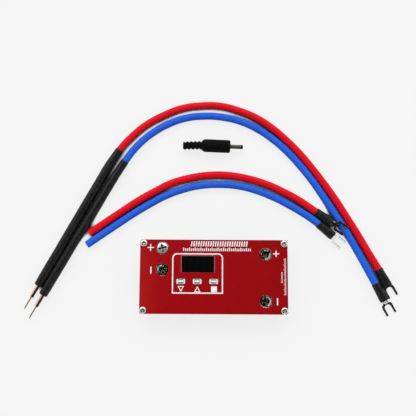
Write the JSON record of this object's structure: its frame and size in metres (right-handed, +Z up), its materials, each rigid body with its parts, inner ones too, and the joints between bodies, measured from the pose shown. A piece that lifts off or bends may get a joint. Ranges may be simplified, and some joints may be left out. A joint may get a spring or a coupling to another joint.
{
  "type": "mini spot welder kit",
  "caption": "Pocket battery spot welder: red board sandwich with a small display, keys and screw terminals, with welding leads, supply leads and a loose round plug.",
  "frame": {"origin": "middle of the four foot holes, on the surface that the unit and its leads lie on", "axes": "+Z up out of the front panel, +X to the right and +Y to the back as the panel is read"},
  "size_m": [0.3102, 0.1856, 0.0201],
  "materials": {
    "red_board": "red solder mask over glass fibre, semi gloss",
    "zinc_steel": "zinc plated steel",
    "nickel": "nickel plated brass",
    "display_glass": "black polished glass",
    "foam": "black adhesive foam",
    "amber_flex": "amber polyimide film",
    "chip_black": "black moulded epoxy",
    "header_black": "black moulded nylon",
    "copper": "bare copper",
    "can_aluminium": "drawn aluminium can",
    "tin": "tin plated copper",
    "switch_steel": "stamped stainless steel",
    "key_ivory": "ivory nylon",
    "brass": "machined brass",
    "cable_red": "soft red silicone rubber",
    "cable_blue": "soft blue silicone rubber",
    "sleeve_black": "black heat shrink sleeve",
    "plug_black": "black moulded plastic",
    "plug_steel": "dull nickel plate"
  },
  "bodies": {
    "unit": {"front_panel": "red_board", "power_board": "red_board", "control_board": "red_board", "corner_screws": "zinc_steel", "corner_spacers": "nickel", "feet": "nickel", "display_glass": "display_glass", "display_pad": "foam", "display_flex": "amber_flex", "controller_chip": "chip_black", "driver_chip": "chip_black", "header_sockets": "header_black", "header_plugs": "header_black", "mosfets": "chip_black", "plus_busbar": "copper", "source_busbar": "copper", "drain_busbar": "copper", "capacitors": "can_aluminium", "trigger_jack": "header_black", "trigger_jack_pin": "tin", "switch_body_down": "switch_steel", "switch_body_up": "switch_steel", "switch_body_set": "switch_steel", "post_left_plus": "brass", "post_left_minus": "brass", "post_right_plus": "brass", "post_right_minus": "brass"},
    "key_down": {"switch_key_down": "key_ivory"},
    "key_up": {"switch_key_up": "key_ivory"},
    "key_set": {"switch_key_set": "key_ivory"},
    "left_plus_washer": {"washer_left_plus": "zinc_steel"},
    "left_plus_screw": {"screw_left_plus": "zinc_steel"},
    "left_minus_washer": {"washer_left_minus": "zinc_steel"},
    "left_minus_screw": {"screw_left_minus": "zinc_steel"},
    "right_plus_washer": {"washer_right_plus": "zinc_steel"},
    "right_plus_screw": {"screw_right_plus": "zinc_steel"},
    "right_minus_washer": {"washer_right_minus": "zinc_steel"},
    "right_minus_screw": {"screw_right_minus": "zinc_steel"},
    "weld_lead_red": {"weld_red_cable": "cable_red", "weld_red_handle": "sleeve_black", "weld_red_ferrule": "copper", "weld_red_electrode": "copper", "weld_red_fork": "tin", "weld_red_fork_sleeve": "sleeve_black"},
    "weld_lead_blue": {"weld_blue_cable": "cable_blue", "weld_blue_handle": "sleeve_black", "weld_blue_ferrule": "copper", "weld_blue_electrode": "copper", "weld_blue_fork": "tin", "weld_blue_fork_sleeve": "sleeve_black"},
    "supply_lead_red": {"supply_red_cable": "cable_red", "supply_red_fork": "tin", "supply_red_fork_sleeve": "sleeve_black"},
    "supply_lead_blue": {"supply_blue_cable": "cable_blue", "supply_blue_fork": "tin", "supply_blue_fork_sleeve": "sleeve_black"},
    "plug": {"plug_core": "plug_steel", "plug_insulator": "plug_black"},
    "plug_tail": {"plug_relief": "plug_black"},
    "plug_shell": {"plug_cover": "plug_black"}
  },
  "joints": [
    {"name": "press_key_down", "type": "slide", "parent": "unit", "child": "key_down", "axis": [0, 0, -1], "range_m": [0, 0.00025], "stiffness_N_per_m": 4000},
    {"name": "press_key_up", "type": "slide", "parent": "unit", "child": "key_up", "axis": [0, 0, -1], "range_m": [0, 0.00025], "stiffness_N_per_m": 4000},
    {"name": "press_key_set", "type": "slide", "parent": "unit", "child": "key_set", "axis": [0, 0, -1], "range_m": [0, 0.00025], "stiffness_N_per_m": 4000},
    {"name": "rise_left_plus", "type": "slide", "parent": "unit", "child": "left_plus_washer", "axis": [0, 0, 1], "range_m": [-0.0024, 0.0036]},
    {"name": "turn_left_plus", "type": "hinge", "parent": "left_plus_washer", "child": "left_plus_screw", "pos_m": [-0.042, 0.0232, 0.014], "axis": [0, 0, 1], "range_deg": [-1080, 1620]},
    {"name": "rise_left_minus", "type": "slide", "parent": "unit", "child": "left_minus_washer", "axis": [0, 0, 1], "range_m": [0, 0.006]},
    {"name": "turn_left_minus", "type": "hinge", "parent": "left_minus_washer", "child": "left_minus_screw", "pos_m": [-0.042, 0.0056, 0.0116], "axis": [0, 0, 1], "range_deg": [0, 2700]},
    {"name": "rise_right_plus", "type": "slide", "parent": "unit", "child": "right_plus_washer", "axis": [0, 0, 1], "range_m": [0, 0.006]},
    {"name": "turn_right_plus", "type": "hinge", "parent": "right_plus_washer", "child": "right_plus_screw", "pos_m": [0.0423, 0.0185, 0.0116], "axis": [0, 0, 1], "range_deg": [0, 2700]},
    {"name": "rise_right_minus", "type": "slide", "parent": "unit", "child": "right_minus_washer", "axis": [0, 0, 1], "range_m": [0, 0.006]},
    {"name": "turn_right_minus", "type": "hinge", "parent": "right_minus_washer", "child": "right_minus_screw", "pos_m": [0.0423, -0.0196, 0.0116], "axis": [0, 0, 1], "range_deg": [0, 2700]},
    {"name": "lift_weld_lead_red", "type": "slide", "parent": "unit", "child": "weld_lead_red", "axis": [0, 0, 1], "range_m": [0, 0.05]},
    {"name": "lift_weld_lead_blue", "type": "slide", "parent": "unit", "child": "weld_lead_blue", "axis": [0, 0, 1], "range_m": [0, 0.05]},
    {"name": "lift_supply_lead_red", "type": "slide", "parent": "weld_lead_blue", "child": "supply_lead_red", "axis": [0, 0, 1], "range_m": [0, 0.05]},
    {"name": "lift_supply_lead_blue", "type": "slide", "parent": "unit", "child": "supply_lead_blue", "axis": [0, 0, 1], "range_m": [0, 0.05]},
    {"name": "lift_plug", "type": "slide", "parent": "unit", "child": "plug", "axis": [0, 0, 1], "range_m": [0, 0.05]},
    {"name": "draw_plug_cover", "type": "slide", "parent": "plug", "child": "plug_tail", "axis": [-0.9993, 0.0384, 0], "range_m": [0, 0.006]},
    {"name": "turn_plug_cover", "type": "hinge", "parent": "plug_tail", "child": "plug_shell", "pos_m": [0.0137, 0.111, 0.0056], "axis": [-0.9993, 0.0384, 0], "range_deg": [0, 2880]}
  ],
  "couplings": [
    {"joint": "turn_left_plus", "follows": "rise_left_plus", "rad_per_m": 7854},
    {"joint": "turn_left_minus", "follows": "rise_left_minus", "rad_per_m": 7854},
    {"joint": "turn_right_plus", "follows": "rise_right_plus", "rad_per_m": 7854},
    {"joint": "turn_right_minus", "follows": "rise_right_minus", "rad_per_m": 7854},
    {"joint": "turn_plug_cover", "follows": "draw_plug_cover", "rad_per_m": 8377.6}
  ]
}
